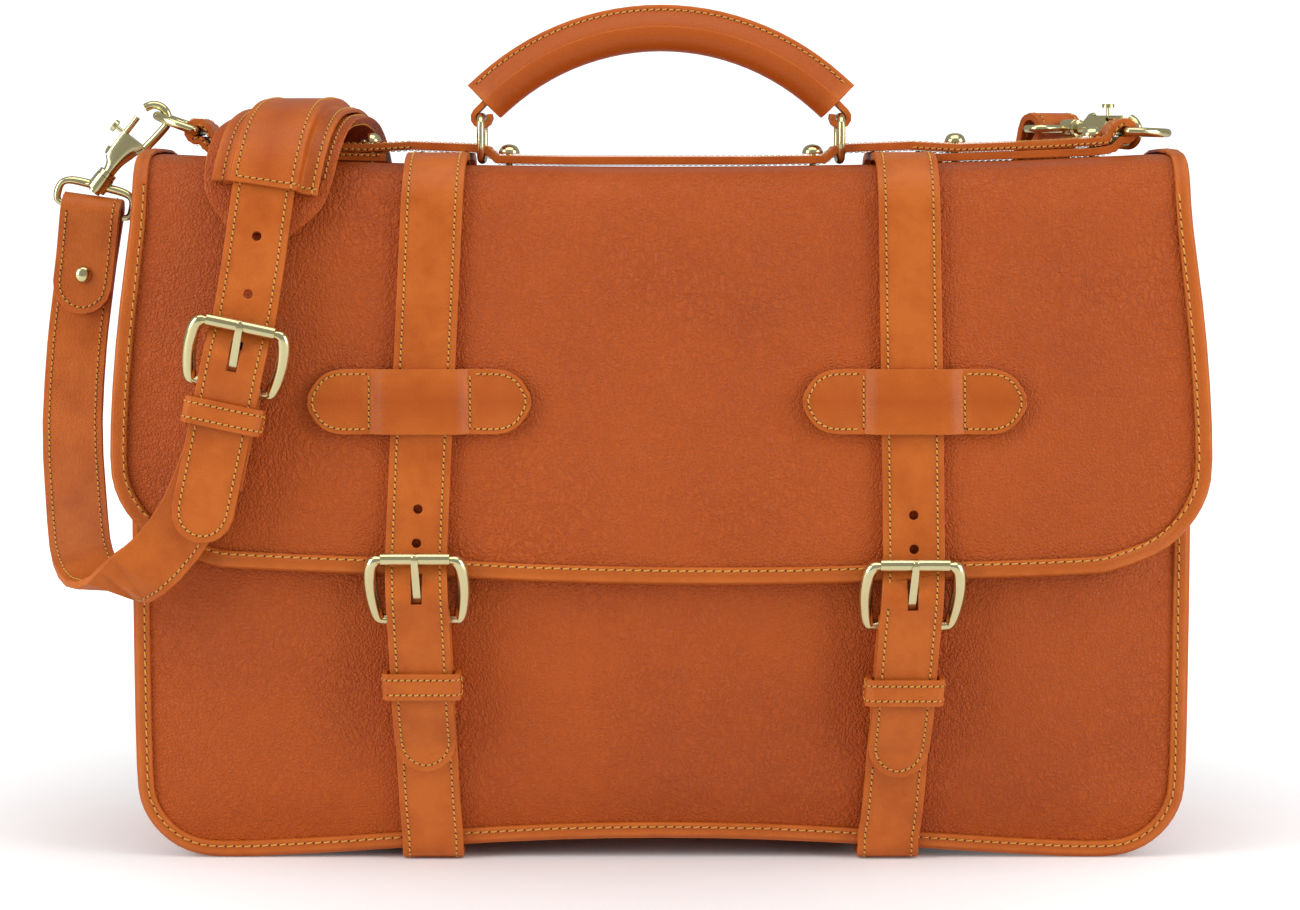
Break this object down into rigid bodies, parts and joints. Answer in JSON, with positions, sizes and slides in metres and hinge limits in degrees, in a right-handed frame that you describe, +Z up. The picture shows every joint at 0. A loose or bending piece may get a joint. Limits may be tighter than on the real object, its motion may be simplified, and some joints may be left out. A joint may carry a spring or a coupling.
{
  "type": "leather document case",
  "caption": "Soft-sided leather document case with a full flap, two buckled straps, a handle on rings and a shoulder strap with a pad.",
  "frame": {"origin": "on the floor under the middle of the bounding box", "axes": "+X along the width to the right seen from the front, +Y to the back, +Z up"},
  "size_m": [0.4932, 0.1908, 0.358],
  "materials": {
    "body_leather": "smooth grained hide, semi-gloss",
    "binding_leather": "folded edge binding, satin",
    "strap_leather": "thick strap leather, semi-gloss",
    "brass": "polished pale brass"
  },
  "bodies": {
    "case": {"front_panel": "body_leather", "back_panel": "body_leather", "gusset": "body_leather", "flap": "body_leather", "shoulder_pad_base": "body_leather", "front_welt": "binding_leather", "back_welt": "binding_leather", "flap_binding": "binding_leather", "top_strap": "strap_leather", "handle_core": "strap_leather", "handle_grip": "strap_leather", "shoulder_strap_short": "strap_leather", "shoulder_strap_long": "strap_leather", "shoulder_strap_loop": "strap_leather", "shoulder_pad_sleeve": "strap_leather", "left_flap_keeper": "strap_leather", "left_case_strap": "strap_leather", "left_strap_loop": "strap_leather", "right_flap_keeper": "strap_leather", "right_case_strap": "strap_leather", "right_strap_loop": "strap_leather", "stud_1": "brass", "stud_2": "brass", "stud_3": "brass", "stud_4": "brass", "stud_5": "brass", "stud_6": "brass", "left_buckle_frame": "brass", "left_buckle_roller": "brass", "left_buckle_prong": "brass", "left_d_ring": "brass", "left_handle_ring": "brass", "left_strap_rivet": "brass", "left_hook_eye": "brass", "left_hook_body": "brass", "right_buckle_frame": "brass", "right_buckle_roller": "brass", "right_buckle_prong": "brass", "right_d_ring": "brass", "right_handle_ring": "brass", "right_strap_rivet": "brass", "right_hook_eye": "brass", "right_hook_body": "brass", "shoulder_buckle_frame": "brass", "shoulder_buckle_roller": "brass", "shoulder_buckle_prong": "brass"},
    "left_bolt": {"left_hook_bolt": "brass"},
    "right_bolt": {"right_hook_bolt": "brass"}
  },
  "joints": [
    {"name": "left_bolt_slide", "type": "slide", "parent": "case", "child": "left_bolt", "axis": [-0.6157, 0, -0.788], "range_m": [0, 0.006], "stiffness_N_per_m": 300, "springref_m": -0.004},
    {"name": "right_bolt_slide", "type": "slide", "parent": "case", "child": "right_bolt", "axis": [-0.5902, 0.8073, 0], "range_m": [0, 0.006], "stiffness_N_per_m": 300, "springref_m": -0.004}
  ]
}
